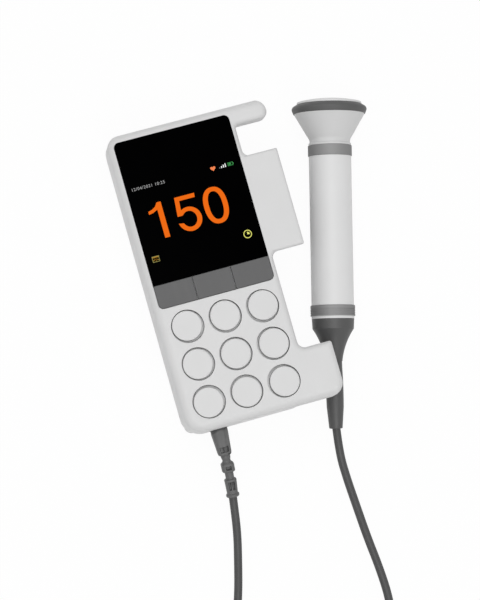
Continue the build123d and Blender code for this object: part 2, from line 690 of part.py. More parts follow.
with BuildPart() as probe_face:
    with BuildSketch(probe_plane) as dome_section:
        with BuildLine():
            Polyline(
                (0, dome_top), (0, RIM_TOP - 2.3), (DOME_RADIUS, RIM_TOP - 2.3),
                (DOME_RADIUS, DOME_EDGE),
            )
            ThreePointArc((DOME_RADIUS, DOME_EDGE), dome_middle, (0, dome_top))
        make_face()
        round_corners(dome_section, [((DOME_RADIUS, DOME_EDGE), DOME_ROUND)])
    revolve(dome_section.sketch, axis=Axis(probe_plane.origin, probe_plane.y_dir))
keep(probe_face, "probe_face")

rim_seat = DOME_RADIUS + 0.02
with BuildPart() as rim_ring:
    with BuildSketch(probe_plane):
        with BuildLine():
            Polyline(
                (RIM_FOOT_RADIUS, RIM_FOOT), (RIM_FOOT_RADIUS + 0.35, RIM_FOOT + 0.15),
                (RIM_RADIUS - 0.1, RIM_STATION - 0.8),
            )
            ThreePointArc(
                (RIM_RADIUS - 0.1, RIM_STATION - 0.8), (RIM_RADIUS, RIM_STATION - 0.1),
                (RIM_RADIUS - 0.75, RIM_STATION + 1.1),
            )
            Polyline(
                (RIM_RADIUS - 0.75, RIM_STATION + 1.1), (rim_seat, RIM_TOP),
                (rim_seat, RIM_TOP - 3.1), (13.4, RIM_TOP - 3.1), (13.4, RIM_FOOT),
                (RIM_FOOT_RADIUS, RIM_FOOT),
            )
        make_face()
    revolve(axis=Axis(probe_plane.origin, probe_plane.y_dir))
keep(rim_ring, "rim_ring")

with BuildPart() as probe_horn:
    turned(
        probe_plane,
        [
            (RIM_FOOT_RADIUS, RIM_FOOT), (10.5, 80.3), (9.65, 78.95), (THROAT_RADIUS, 77.9),
            (THROAT_RADIUS, UPPER_COLLAR[1] + 1.3), (HORN_FOOT_RADIUS, UPPER_COLLAR[1] + 0.9),
            (HORN_FOOT_RADIUS, UPPER_COLLAR[1]), (8.0, UPPER_COLLAR[1]), (8.0, UPPER_COLLAR[0] - 4),
            (6.6, UPPER_COLLAR[0] - 4), (6.6, 77.5), (12.8, RIM_FOOT),
        ],
    )
keep(probe_horn, "probe_horn")

with BuildPart() as upper_collar:
    turned(
        probe_plane,
        [
            (8.0, UPPER_COLLAR[0]), (COLLAR_RADIUS - 0.2, UPPER_COLLAR[0]),
            (COLLAR_RADIUS, UPPER_COLLAR[0] + 0.3), (COLLAR_RADIUS, UPPER_COLLAR[1] - 0.25),
            (COLLAR_RADIUS - 0.25, UPPER_COLLAR[1]), (8.0, UPPER_COLLAR[1]),
        ],
    )
keep(upper_collar, "upper_collar")

tube_bore = TUBE_RADIUS - TUBE_WALL + 0.12
with BuildPart() as probe_tube:
    turned(
        probe_plane,
        [
            (TUBE_RADIUS, LOWER_COLLAR[1]), (TUBE_RADIUS, UPPER_COLLAR[0]),
            (tube_bore, UPPER_COLLAR[0]), (tube_bore, LOWER_COLLAR[1]),
        ],
    )
keep(probe_tube, "probe_tube")

with BuildPart() as lower_collar:
    turned(
        probe_plane,
        [
            (0, LOWER_COLLAR[0]), (LOWER_COLLAR_RADIUS, LOWER_COLLAR[0]),
            (LOWER_COLLAR_RADIUS, LOWER_COLLAR[1] - 0.3), (LOWER_COLLAR_RADIUS - 0.3, LOWER_COLLAR[1]),
            (7.8, LOWER_COLLAR[1]), (7.8, LOWER_COLLAR[1] + 5),
            (6.4, LOWER_COLLAR[1] + 5), (6.4, LOWER_COLLAR[1] - 2), (0, LOWER_COLLAR[1] - 2),
        ],
    )
    # fine grip grooves round the collar
    for station in GRIP_GROOVES:
        with BuildSketch(probe_plane):
            with Locations((LOWER_COLLAR_RADIUS, station)):
                Rectangle(0.5, 0.3)
        revolve(axis=Axis(probe_plane.origin, probe_plane.y_dir), mode=Mode.SUBTRACT)
keep(lower_collar, "lower_collar")

with BuildPart() as spacer_ring:
    turned(
        probe_plane,
        [
            (6.0, SPACER_END), (SPACER_RADIUS, SPACER_END),
            (SPACER_RADIUS, LOWER_COLLAR[0]), (6.0, LOWER_COLLAR[0]),
        ],
    )
keep(spacer_ring, "spacer_ring")

boot_neck = probe_origin + probe_along * BOOT_NECK
boot_end = Vector(BOOT_END_X, BOOT_END_Y, BOOT_END_Z)
sleeve_plane = side_plane(boot_neck, boot_end)
sleeve_length = (boot_end - boot_neck).length
with BuildPart() as probe_boot:
    # shoulder that narrows in a hollow curve
    with BuildSketch(probe_plane):
        with BuildLine():
            Polyline((0, SPACER_END), (SHOULDER_RADIUS, SPACER_END), (9.55, SHOULDER_END))
            ThreePointArc((9.55, SHOULDER_END), (5.55, -17.0), (4.0, BOOT_NECK))
            Polyline((4.0, BOOT_NECK), (0, BOOT_NECK), (0, SPACER_END))
        make_face()
    revolve(axis=Axis(probe_plane.origin, probe_plane.y_dir))
    # tapered sleeve round the cord
    with BuildSketch(sleeve_plane):
        with BuildLine():
            Polyline((0, sleeve_length), (0, -1.5), (3.8, -1.5), (3.85, 3.0))
            ThreePointArc((3.85, 3.0), (4.05, 13.0), (3.95, 21.0))
            Polyline((3.95, 21.0), (3.1, sleeve_length - 0.2), (2.9, sleeve_length), (0, sleeve_length))
        make_face()
    revolve(axis=Axis(sleeve_plane.origin, sleeve_plane.y_dir))
keep(probe_boot, "probe_boot")

with BuildPart() as transducer_crystals:
    with BuildSketch(Plane(
        origin=probe_origin + probe_along * (RIM_TOP - 3.5),
        x_dir=probe_plane.x_dir, z_dir=probe_along,
    )):
        Circle(10)
        Rectangle(22, 1.2, mode=Mode.SUBTRACT)
    extrude(amount=1.2)
keep(transducer_crystals, "transducer_crystals")

with BuildPart() as probe_board:
    with BuildSketch(Plane(
        origin=probe_origin + probe_along * 12,
        x_dir=probe_plane.x_dir, z_dir=probe_along,
    )):
        Rectangle(12.5, 1.2)
    extrude(amount=46)
keep(probe_board, "probe_board")

# ---------------------------------------------------------------- cord
coil_entry = (COIL_X - COIL_OUTER_LANE, COIL_Y, CORD_RADIUS)
exit_turn = radians(-60)
coil_exit = (
    COIL_X + COIL_OUTER_LANE * cos(exit_turn),
    COIL_Y + COIL_OUTER_LANE * sin(exit_turn),
    COIL_TOP_Z,
)
relief_along = (Vector(*PLUG_END) - Vector(*PLUG_BEND)).normalized()
plug_start = Vector(*PLUG_END) - relief_along * CORD_EMBED
sleeve_along = (boot_end - boot_neck).normalized()
boot_start = boot_end - sleeve_along * CORD_EMBED

plug_route = [
    tuple(plug_start), (-16, -107.95, 4.1), (-17.5, -118.25, CORD_RADIUS),
    (-20.45, -129.75, CORD_RADIUS), (-24.2, -143.35, CORD_RADIUS), (-29.2, -157.25, CORD_RADIUS),
    (-33.55, -173.15, CORD_RADIUS), coil_entry,
]
probe_route = [
    coil_exit, (21.45, -205.7, 3.5), (32.1, -194.95, CORD_RADIUS), (39.25, -181.35, CORD_RADIUS),
    (42.05, -166.35, CORD_RADIUS), (41.55, -150.75, CORD_RADIUS), (40.05, -135.75, CORD_RADIUS),
    (39.25, -121.25, CORD_RADIUS), (38.5, -107.75, CORD_RADIUS), (38.25, -94.95, 2.7), tuple(boot_start),
]


def cord_path(name, route):
    """Straight runs joined by tangent arcs, each arc as large as its two runs allow."""
    points = [Vector(*point) for point in route]
    radii = []
    for before, corner, after in zip(points, points[1:], points[2:]):
        turn = radians((corner - before).get_angle(after - corner))
        shorter = min((corner - before).length, (after - corner).length)
        radii.append(0.45 * shorter / tan(turn / 2))
    print(name, "arc radii", [round(radius, 1) for radius in radii])
    return FilletPolyline(*points, radius=radii)


for name, route in (("cable_plug_run", plug_route), ("cable_probe_run", probe_route)):
    with BuildPart() as cable_run:
        with BuildLine() as path:
            cord_path(name, route)
        start = path.wires()[0] @ 0
        direction = path.wires()[0] % 0
        with BuildSketch(Plane(origin=start, z_dir=direction)):
            Circle(CORD_RADIUS)
        sweep(path=path.wires()[0])
    expected = pi * CORD_RADIUS**2 * path.wires()[0].length
    print(name, "length", round(path.wires()[0].length, 1), "volume", cable_run.part.volume, expected)
    keep(cable_run, name)

# the coil: one closed ring of its turns' outer shape
with BuildPart() as cable_coil:
    with BuildSketch(Plane.XZ.offset(-COIL_Y)):
        with Locations((COIL_X + (COIL_OUTER_LANE + COIL_INNER_LANE) / 2, 2 * CORD_RADIUS)):
            RectangleRounded(
                COIL_OUTER_LANE - COIL_INNER_LANE + 2 * CORD_RADIUS, 4 * CORD_RADIUS,
                CORD_RADIUS - 0.1,
            )
    revolve(axis=Axis((COIL_X, COIL_Y, 0), (0, 0, 1)))
keep(cable_coil, "cable_coil")
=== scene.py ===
"""Hand-held fetal doppler: finishes, display picture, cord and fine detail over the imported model."""
import json
from math import cos, pi, radians, sin

import bmesh
import bpy
from mathutils import Matrix, Vector


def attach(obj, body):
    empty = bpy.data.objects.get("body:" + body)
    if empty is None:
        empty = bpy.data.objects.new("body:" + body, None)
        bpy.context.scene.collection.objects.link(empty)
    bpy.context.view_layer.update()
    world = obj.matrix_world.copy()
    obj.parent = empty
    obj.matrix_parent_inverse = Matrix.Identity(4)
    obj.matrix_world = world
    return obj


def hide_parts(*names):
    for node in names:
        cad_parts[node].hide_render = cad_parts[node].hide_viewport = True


MM = 0.001

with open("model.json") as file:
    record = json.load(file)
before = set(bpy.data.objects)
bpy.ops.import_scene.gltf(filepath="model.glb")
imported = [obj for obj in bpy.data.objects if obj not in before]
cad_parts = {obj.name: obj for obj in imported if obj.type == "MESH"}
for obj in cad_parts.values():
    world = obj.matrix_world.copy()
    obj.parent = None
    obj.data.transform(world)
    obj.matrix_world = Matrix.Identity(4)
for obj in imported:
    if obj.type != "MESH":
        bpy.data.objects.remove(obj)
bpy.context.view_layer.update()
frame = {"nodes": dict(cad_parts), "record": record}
nodes = frame["nodes"]


def mm(*values):
    """A point or size given in millimetres, in metres."""
    return Vector([value * MM for value in values])


def add_node(tree, kind, **settings):
    """Add a shader node and set its plain properties."""
    node = tree.nodes.new(kind)
    for name, value in settings.items():
        setattr(node, name, value)
    return node


def seen_rays(tree):
    """1 for what the camera sees, also in a reflection or through glass, and 0 for plain light."""
    path = add_node(tree, "ShaderNodeLightPath")
    seen = path.outputs["Is Camera Ray"]
    for ray in ("Is Glossy Ray", "Is Transmission Ray"):
        either = add_node(tree, "ShaderNodeMath", operation="MAXIMUM")
        tree.links.new(seen, either.inputs[0])
        tree.links.new(path.outputs[ray], either.inputs[1])
        seen = either.outputs["Value"]
    return seen


# ------------------------------------------------------------------ camera and light
CAMERA_EYE = mm(-145.8728, -111.5591, 1111.5097)
CAMERA_RIGHT = Vector((0.9550581, -0.2739510, 0.1132032))
CAMERA_UP = Vector((0.2604069, 0.9578760, 0.1210859))
SENSOR_HEIGHT = 36.0
FOCAL_LENGTH = 145.8
NEAREST_SEEN = 0.05         # metres
FARTHEST_SEEN = 20.0

ROOM_LIGHT = 0.55           # strength of the light from all round
ROOM_SEEN = 1.0             # strength at which the room shows as white
LAMP_SIZE = 0.9             # metres, as are the lamps' places
LAMP_TARGET = Vector((0.02, 0.0, 0.0))
LAMPS = (
    ("display_end_lamp", (0.0, 0.85, 1.45), 4.4),
    ("keypad_end_lamp", (-0.05, -0.85, 1.45), 6.0),
    ("overhead_lamp", (-0.15, -0.1, 1.6), 4.4),
)


def place_camera():
    """Camera above the unit, turned so that the display end leans to the left."""
    back = CAMERA_RIGHT.cross(CAMERA_UP)
    turn = Matrix((CAMERA_RIGHT, CAMERA_UP, back)).transposed().to_4x4()
    data = bpy.data.cameras.new("camera")
    data.sensor_fit = "VERTICAL"
    data.sensor_height = SENSOR_HEIGHT
    data.lens = FOCAL_LENGTH
    data.clip_start = NEAREST_SEEN
    data.clip_end = FARTHEST_SEEN
    camera = bpy.data.objects.new("camera", data)
    camera.matrix_world = Matrix.Translation(CAMERA_EYE) @ turn
    bpy.context.scene.collection.objects.link(camera)
    bpy.context.scene.camera = camera


def add_softbox(name, position, power):
    """One large square lamp that looks at the unit."""
    data = bpy.data.lights.new(name, "AREA")
    data.shape = "SQUARE"
    data.size = LAMP_SIZE
    data.energy = power
    lamp = bpy.data.objects.new(name, data)
    lamp.location = position
    lamp.rotation_euler = (LAMP_TARGET - Vector(position)).to_track_quat("-Z", "Y").to_euler()
    bpy.context.scene.collection.objects.link(lamp)


def light_the_room():
    """Even light from all round, white where it is seen, and large lamps overhead and at each end."""
    world = bpy.data.worlds.new("room")
    bpy.context.scene.world = world
    world.use_nodes = True
    tree = world.node_tree
    background = tree.nodes["Background"]
    background.inputs["Color"].default_value = (1.0, 1.0, 1.0, 1.0)
    strength = add_node(tree, "ShaderNodeMix", data_type="FLOAT")
    strength.inputs["A"].default_value = ROOM_LIGHT
    strength.inputs["B"].default_value = ROOM_SEEN
    tree.links.new(seen_rays(tree), strength.inputs["Factor"])
    tree.links.new(strength.outputs["Result"], background.inputs["Strength"])
    for name, position, power in LAMPS:
        add_softbox(name, position, power)


bpy.context.scene.view_settings.view_transform = "Standard"
place_camera()
light_the_room()


# ------------------------------------------------------------------ shader building blocks
GRAIN_DETAIL = 2.0          # octaves of noise
MOTTLE_DETAIL = 3.0
PATCH_DETAIL = 4.0
SCRATCH_DETAIL = 6.0
SCRATCH_TURN = (0.3, 0.2, 0.7)      # radians
SCRATCH_STRETCH = (1.0, 0.06, 0.3)
MARKS_START = 0.15          # noise at which handling marks begin, and at which they are full
MARKS_FULL = 0.4


def new_group(name, inputs, outputs):
    """An empty shader node group with float inputs (name: default) and named float outputs."""
    tree = bpy.data.node_groups.new(name, "ShaderNodeTree")
    for socket, default in inputs.items():
        made = tree.interface.new_socket(socket, in_out="INPUT", socket_type="NodeSocketFloat")
        made.default_value = default
    for socket in outputs:
        tree.interface.new_socket(socket, in_out="OUTPUT", socket_type="NodeSocketFloat")
    entry = tree.nodes.new("NodeGroupInput")
    leave = tree.nodes.new("NodeGroupOutput")
    return tree, entry, leave


def add_noise(tree, where, size, detail):
    """Noise from 0 to 1 whose grains are as large as the size socket says, in millimetres."""
    per_metre = add_node(tree, "ShaderNodeMath", operation="DIVIDE")
    per_metre.inputs[0].default_value = 1.0 / MM
    tree.links.new(size, per_metre.inputs[1])
    noise = add_node(tree, "ShaderNodeTexNoise")
    noise.inputs["Detail"].default_value = detail
    tree.links.new(where, noise.inputs["Vector"])
    tree.links.new(per_metre.outputs["Value"], noise.inputs["Scale"])
    return noise.outputs["Fac"]


def make_grain_group():
    """Fine moulded grain as a height, and slow mottling of the colour from 0 to 1."""
    tree, entry, leave = new_group(
        "moulded_grain", {"Grain Size": 0.3, "Mottle Size": 12.0}, ["Height", "Mottle"]
    )
    where = add_node(tree, "ShaderNodeTexCoord").outputs["Object"]
    height = add_noise(tree, where, entry.outputs["Grain Size"], GRAIN_DETAIL)
    mottle = add_noise(tree, where, entry.outputs["Mottle Size"], MOTTLE_DETAIL)
    tree.links.new(height, leave.inputs["Height"])
    tree.links.new(mottle, leave.inputs["Mottle"])
    return tree


def make_handling_group():
    """Faint rubbed patches and hairline scratches as one mask from 0 to 1."""
    tree, entry, leave = new_group(
        "handling_marks", {"Patch Size": 18.0, "Scratch Size": 1.6}, ["Mask"]
    )
    where = add_node(tree, "ShaderNodeTexCoord").outputs["Object"]
    patches = add_noise(tree, where, entry.outputs["Patch Size"], PATCH_DETAIL)
    stretch = add_node(tree, "ShaderNodeMapping")
    stretch.inputs["Rotation"].default_value = SCRATCH_TURN
    stretch.inputs["Scale"].default_value = SCRATCH_STRETCH
    tree.links.new(where, stretch.inputs["Vector"])
    scratches = add_noise(tree, stretch.outputs["Vector"], entry.outputs["Scratch Size"], SCRATCH_DETAIL)
    both = add_node(tree, "ShaderNodeMath", operation="MULTIPLY")
    tree.links.new(patches, both.inputs[0])
    tree.links.new(scratches, both.inputs[1])
    spread = add_node(tree, "ShaderNodeMapRange")
    spread.inputs["From Min"].default_value = MARKS_START
    spread.inputs["From Max"].default_value = MARKS_FULL
    tree.links.new(both.outputs["Value"], spread.inputs["Value"])
    tree.links.new(spread.outputs["Result"], leave.inputs["Mask"])
    return tree


moulded_grain = make_grain_group()
handling_marks = make_handling_group()


BAND_IOR = 1.85
BAND_GLOSS = 0.68           # specular level of a collar seen face on
GAP_SHADE_SLOPE = 0.2           # height of the normal up to which a key's side shows its full painted shade
CAP_SLOPE = 0.5             # height of the normal from which it shows its cap's own white, without painted shade
UNLIT_BLACK = (0.002, 0.002, 0.002)
PICTURE_GLOSS = 0.02
WINDOW_GLOSS = 0.004


def start_material(name):
    """A new material: its tree, its Principled shader, and nothing else yet."""
    material = bpy.data.materials.new(name)
    material.use_nodes = True
    return material, material.node_tree, material.node_tree.nodes["Principled BSDF"]


def put_group(tree, group, **inputs):
    """Place a shared group in a material with its own values."""
    node = add_node(tree, "ShaderNodeGroup", node_tree=group)
    for name, value in inputs.items():
        node.inputs[name.replace("_", " ").title()].default_value = value
    return node


def mix_colours(tree, factor, first, second):
    """Colour that runs from first to second as factor goes from 0 to 1."""
    mix = add_node(tree, "ShaderNodeMix", data_type="RGBA")
    mix.inputs["A"].default_value = (*first, 1.0)
    mix.inputs["B"].default_value = (*second, 1.0)
    tree.links.new(factor, mix.inputs["Factor"])
    return mix.outputs["Result"]


def run_between(tree, factor, low, high):
    """Value that runs from low to high as factor goes from 0 to 1."""
    spread = add_node(tree, "ShaderNodeMapRange")
    spread.inputs["To Min"].default_value = low
    spread.inputs["To Max"].default_value = high
    tree.links.new(factor, spread.inputs["Value"])
    return spread.outputs["Result"]


def add_bump(tree, height, depth_mm, shader):
    """Raise the surface by a height map, in millimetres at full height."""
    bump = add_node(tree, "ShaderNodeBump")
    bump.inputs["Distance"].default_value = depth_mm * MM
    tree.links.new(height, bump.inputs["Height"])
    tree.links.new(bump.outputs["Normal"], shader.inputs["Normal"])


def moulded(name, light, dark, roughness, grain=0.35, depth=0.012, mottle=14.0):
    """Moulded plastic or rubber: slow mottling, fine grain, and rubbed patches that shine more."""
    material, tree, shader = start_material(name)
    texture = put_group(tree, moulded_grain, grain_size=grain, mottle_size=mottle)
    marks = put_group(tree, handling_marks)
    colour = mix_colours(tree, texture.outputs["Mottle"], light, dark)
    tree.links.new(colour, shader.inputs["Base Color"])
    gloss = run_between(tree, marks.outputs["Mask"], roughness[0], roughness[1])
    tree.links.new(gloss, shader.inputs["Roughness"])
    add_bump(tree, texture.outputs["Height"], depth, shader)
    return material


def grey(level):
    """A colour with the same red, green and blue."""
    return (level, level, level)


def shader_of(material):
    """A material's Principled shader."""
    return material.node_tree.nodes["Principled BSDF"]


def satin_band(name, light, dark, roughness):
    """Rubber band whose gloss shows face on and fades towards its sides."""
    material = moulded(name, light, dark, roughness)
    tree = material.node_tree
    shader = shader_of(material)
    side = add_node(tree, "ShaderNodeLayerWeight")
    gloss = run_between(tree, side.outputs["Facing"], BAND_GLOSS, 0.0)
    shader.inputs["IOR"].default_value = BAND_IOR
    tree.links.new(gloss, shader.inputs["Specular IOR Level"])
    return material


def key_with_painted_gap_shade(name, light, dark, gap_shade, roughness):
    """White key cap whose upright sides are painted darker: painted shade of the deep gap round the key."""
    material = moulded(name, light, dark, roughness, grain=0.25)
    tree = material.node_tree
    base = shader_of(material).inputs["Base Color"]
    where = add_node(tree, "ShaderNodeTexCoord")
    split = add_node(tree, "ShaderNodeSeparateXYZ")
    tree.links.new(where.outputs["Normal"], split.inputs["Vector"])
    facing_up = add_node(tree, "ShaderNodeMapRange")
    facing_up.inputs["From Min"].default_value = GAP_SHADE_SLOPE
    facing_up.inputs["From Max"].default_value = CAP_SLOPE
    tree.links.new(split.outputs["Z"], facing_up.inputs["Value"])
    # painted shade: the key's upright sides take the dark colour, standing in for the shade in the gap round
    # the key
    mix = add_node(tree, "ShaderNodeMix", data_type="RGBA")
    mix.inputs["A"].default_value = (*gap_shade, 1.0)
    tree.links.new(base.links[0].from_socket, mix.inputs["B"])
    tree.links.new(facing_up.outputs["Result"], mix.inputs["Factor"])
    tree.links.new(mix.outputs["Result"], base)
    return material


def plated_metal(name, light, dark, roughness):
    """Plated metal with fine polishing grain."""
    material = moulded(name, light, dark, roughness, grain=0.4, depth=0.002, mottle=3.0)
    shader_of(material).inputs["Metallic"].default_value = 1.0
    return material


def lit_figure(name, colour, dim):
    """Part of the lit picture, with the faint unevenness of its pixels."""
    material, tree, shader = start_material(name)
    texture = put_group(tree, moulded_grain, grain_size=0.25, mottle_size=0.8)
    glow = mix_colours(tree, texture.outputs["Mottle"], colour, dim)
    tree.links.new(glow, shader.inputs["Emission Color"])
    shader.inputs["Emission Strength"].default_value = 1.0
    shader.inputs["Base Color"].default_value = (*UNLIT_BLACK, 1.0)
    shader.inputs["Specular IOR Level"].default_value = PICTURE_GLOSS
    return material


def black_glass():
    """Coated window over the display, nearly free of reflections."""
    material = moulded(
        "black_glass", (0.0001, 0.0001, 0.0002), (0.0003, 0.0003, 0.0004), (0.10, 0.17), depth=0.0004
    )
    shader_of(material).inputs["Specular IOR Level"].default_value = WINDOW_GLOSS
    return material


finishes = {
    "housing_white": moulded("shell_white", grey(0.664), grey(0.628), (0.5, 0.4)),
    # the keys' upright sides get grey(0.24) as painted shade of the gap round them
    "key_white": key_with_painted_gap_shade("key_white", grey(0.664), grey(0.634), grey(0.24), (0.48, 0.38)),
    "soft_key_grey": moulded("soft_key_grey", (0.098, 0.098, 0.099), (0.086, 0.086, 0.087), (0.6, 0.5)),
    "display_glass": black_glass(),
    "display_panel": moulded("panel_black", (0.01, 0.01, 0.012), (0.016, 0.016, 0.018), (0.2, 0.15)),
    "foam_black": moulded("foam_black", grey(0.02), grey(0.04), (0.95, 0.85), depth=0.1),
    "board_green": moulded("board_green", (0.02, 0.16, 0.06), (0.015, 0.12, 0.045), (0.35, 0.25)),
    "silicone_grey": moulded("silicone_grey", grey(0.33), grey(0.29), (0.65, 0.55)),
    "speaker_black": moulded("speaker_black", grey(0.03), grey(0.05), (0.8, 0.7), depth=0.05),
    "battery_wrap": moulded("battery_wrap", (0.04, 0.10, 0.28), (0.05, 0.13, 0.33), (0.3, 0.22), depth=0.02),
    "screw_steel": plated_metal("screw_steel", (0.62, 0.61, 0.60), (0.5, 0.5, 0.49), (0.3, 0.42)),
    "socket_steel": plated_metal("socket_steel", (0.58, 0.58, 0.57), (0.48, 0.48, 0.47), (0.28, 0.4)),
    "socket_black": moulded("socket_black", grey(0.02), grey(0.03), (0.45, 0.35)),
    "cord_grey": moulded("cord_grey", grey(0.053), grey(0.043), (0.55, 0.45)),
    "boot_grey": moulded("boot_grey", grey(0.070), grey(0.059), (0.5, 0.42)),
    "plug_grey": moulded("plug_grey", grey(0.110), grey(0.094), (0.55, 0.45)),
    "collar_grey": satin_band("collar_grey", grey(0.186), grey(0.172), (0.64, 0.58)),
    "probe_white": moulded("probe_white", grey(0.711), grey(0.675), (0.48, 0.38)),
    # painted shade: a darker copy of the probe's white plastic, for its horn
    "horn_white_painted_shade": moulded("horn_white_painted_shade", grey(0.625), grey(0.590), (0.52, 0.44)),
    "probe_grey": moulded("probe_grey", grey(0.083), grey(0.072), (0.6, 0.5)),
    "ceramic": moulded("ceramic", (0.70, 0.66, 0.52), (0.62, 0.58, 0.45), (0.4, 0.3)),
}

own_finish = {"probe_horn": "horn_white_painted_shade"}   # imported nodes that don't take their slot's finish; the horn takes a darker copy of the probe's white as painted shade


def dress_packed_nodes():
    """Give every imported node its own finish, or the one of its material slot."""
    slots = {entry["node"]: entry["material_slot"] for entry in frame["record"]["subparts"]}
    for name, node in nodes.items():
        node.data.materials.clear()
        node.data.materials.append(finishes[own_finish.get(name, slots[name])])


dress_packed_nodes()


def finish_piece(piece, slot, finish=None):
    """Dress a new piece with the finish given, or else its slot's finish, and fasten it to the housing."""
    piece.data.materials.clear()
    piece.data.materials.append(finish or finishes[slot])
    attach(piece, "housing")
    return piece


def step_up(value, low, high):
    """Smooth rise from 0 at low to 1 at high."""
    share = min(max((value - low) / (high - low), 0.0), 1.0)
    return share * share * (3 - 2 * share)


def rounded_loop(centre, radii, squareness=2.0, count=64):
    """A closed oval that is squarer than an ellipse when squareness is over 2."""
    points = []
    for step in range(count):
        turn = 2 * pi * step / count
        x = abs(cos(turn)) ** (2 / squareness) * (1 if cos(turn) >= 0 else -1)
        y = abs(sin(turn)) ** (2 / squareness) * (1 if sin(turn) >= 0 else -1)
        points.append((centre[0] + radii[0] * x, centre[1] + radii[1] * y))
    return points


# ------------------------------------------------------------------ cord
CORD_RADIUS = 1.9
COIL_CENTRE = (-5.65, -188.55)
COIL_OUTER = 28.4
COIL_INNER = 14.47
COIL_TURNS = 7 + 1 / 3
COIL_START = 180.0          # degrees, where the cord meets the coil
COIL_CLIMB_START = 0.2      # turns before the innermost one at which the cord climbs to the upper layer
COIL_CLIMB = 0.45           # turns that the climb takes
POINTS_PER_TURN = 16
PLUG_ROUTE = [
    (-15.05, -98.65, 7.21), (-16.0, -107.95, 4.1), (-17.5, -118.25, 1.9), (-20.45, -129.75, 1.9),
    (-24.2, -143.35, 1.9), (-29.2, -157.25, 1.9), (-33.55, -173.15, 1.9),
]
PROBE_ROUTE = [
    (21.45, -205.7, 3.5), (32.1, -194.95, 1.9), (39.25, -181.35, 1.9), (42.05, -166.35, 1.9),
    (41.55, -150.75, 1.9), (40.05, -135.75, 1.9), (39.25, -121.25, 1.9), (38.5, -107.75, 1.9),
    (38.25, -94.95, 2.7), (40.10, -81.87, 4.67),
]


def coil_points():
    """Two layers of turns, wound in along the floor and back out on top."""
    steps = round(COIL_TURNS * POINTS_PER_TURN)
    half_turns = COIL_TURNS / 2
    points = []
    for step in range(steps + 1):
        turns = COIL_TURNS * step / steps
        inward = 1 - abs(turns - half_turns) / half_turns
        lane = COIL_OUTER + (COIL_INNER - COIL_OUTER) * inward
        climb = step_up(turns, half_turns - COIL_CLIMB_START, half_turns - COIL_CLIMB_START + COIL_CLIMB)
        height = CORD_RADIUS * (1 + 2 * climb)
        angle = radians(COIL_START + 360 * turns)
        reach = lane / cos(pi / POINTS_PER_TURN)
        points.append((COIL_CENTRE[0] + reach * cos(angle), COIL_CENTRE[1] + reach * sin(angle), height))
    return points


def make_cord(relief):
    """One smooth cord from the plug's strain relief, through its coil, to the probe's."""
    route = PLUG_ROUTE + coil_points() + PROBE_ROUTE
    curve = bpy.data.curves.new("probe_cord", "CURVE")
    curve.dimensions = "3D"
    curve.bevel_depth = CORD_RADIUS * MM
    curve.bevel_resolution = 6
    curve.resolution_u = 10
    curve.use_fill_caps = True
    line = curve.splines.new("NURBS")
    line.points.add(len(route) - 1)
    for point, place in zip(line.points, route):
        point.co = (*mm(*place), 1.0)
    line.order_u = 3
    line.use_endpoint_u = True
    cord = bpy.data.objects.new("probe_cord", curve)
    bpy.context.scene.collection.objects.link(cord)
    finish_piece(cord, "cord_grey")
    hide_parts("cable_plug_run", "cable_coil", "cable_probe_run")
    return cord


# ------------------------------------------------------------------ strain relief on the plug
RELIEF_START = (-14.15, -70.9, 15.0)
RELIEF_BEND = (-14.15, -81.75, 12.6)
RELIEF_END = (-15.15, -100.55, 6.6)
RELIEF_BLEND = 1.5          # how far before and after the bend it is rounded
RELIEF_BOW = 0.2            # how far the part after the bend bows to the left
RELIEF_LEVEL = 2.5          # length over which it turns away from the socket's axis
SLANT = 1.3                 # how steeply the grip's right shoulder falls away
SLANT_START = (1.9, 0.6)    # where it starts, at the grip's two ends
SLANT_LEAST = 0.2           # share of the height that the shoulder keeps
POCKET_RAMP = 0.25          # length over which a pocket sinks, along the relief
POCKET_EDGE = 0.12          # half of the same, across it
POCKET_FLANK = (0.45, 0.75)         # share of the height between which a pocket fades in
RING_POINTS = 96
STATION_STEP = 0.2
SHARP_ANGLE = radians(38)   # edges sharper than this stay sharp


def relief_rows(first, whole):
    """Station, half width, half height and squareness down the relief; first is the bend's station."""
    return [
        (0.0, 3.95, 3.95, 2.0), (0.9, 3.95, 3.8, 3.4), (first - 0.9, 3.2, 3.1, 3.6),
        (first - 0.25, 3.05, 2.9, 3.4), (first, 2.7, 2.5, 3.0), (first + 0.12, 2.3, 2.2, 2.0),
        (first + 1.3, 2.15, 2.1, 2.0), (first + 2.6, 1.85, 1.85, 2.0), (first + 3.3, 2.05, 2.0, 2.0),
        (first + 4.2, 2.85, 2.8, 3.2), (first + 4.6, 3.0, 2.95, 3.6), (first + 7.7, 2.95, 2.85, 3.6),
        (first + 8.05, 2.7, 2.6, 3.2), (first + 8.15, 2.0, 2.0, 2.0), (first + 11.6, 1.95, 1.95, 2.0),
        (first + 11.75, 2.6, 2.5, 2.6), (first + 12.05, 2.8, 2.65, 2.8), (whole - 1.25, 2.5, 2.4, 2.4),
        (whole - 1.1, 2.8, 2.8, 2.0), (whole - 0.8, 3.05, 3.05, 2.0), (whole - 0.05, 3.05, 3.05, 2.0),
        (whole + 0.3, 2.8, 2.8, 2.0), (whole + 0.32, 1.7, 1.7, 2.0),
    ]


def relief_pockets(first, whole):
    """Sunk places in the top and bottom faces: start, end, inner and outer half widths, depth."""
    return [
        (first - 4.0, first - 1.3, 0.35, 2.0, 1.1),
        (first + 5.2, first + 7.1, -1.0, 1.15, 1.5),
        (first + 12.7, whole - 3.0, 0.4, 1.3, 1.4),
    ]


def pocket_depth(pockets, station, across):
    """How far the surface is sunk at a station, at a distance across from the middle."""
    depth = 0.0
    for start, end, inner, outer, sunk in pockets:
        begun = step_up(station, start, start + POCKET_RAMP)
        ended = step_up(station, end - POCKET_RAMP, end)
        inside = step_up(across, inner - POCKET_EDGE, inner + POCKET_EDGE)
        outside = step_up(across, outer - POCKET_EDGE, outer + POCKET_EDGE)
        depth = max(depth, sunk * begun * (1 - ended) * inside * (1 - outside))
    return depth


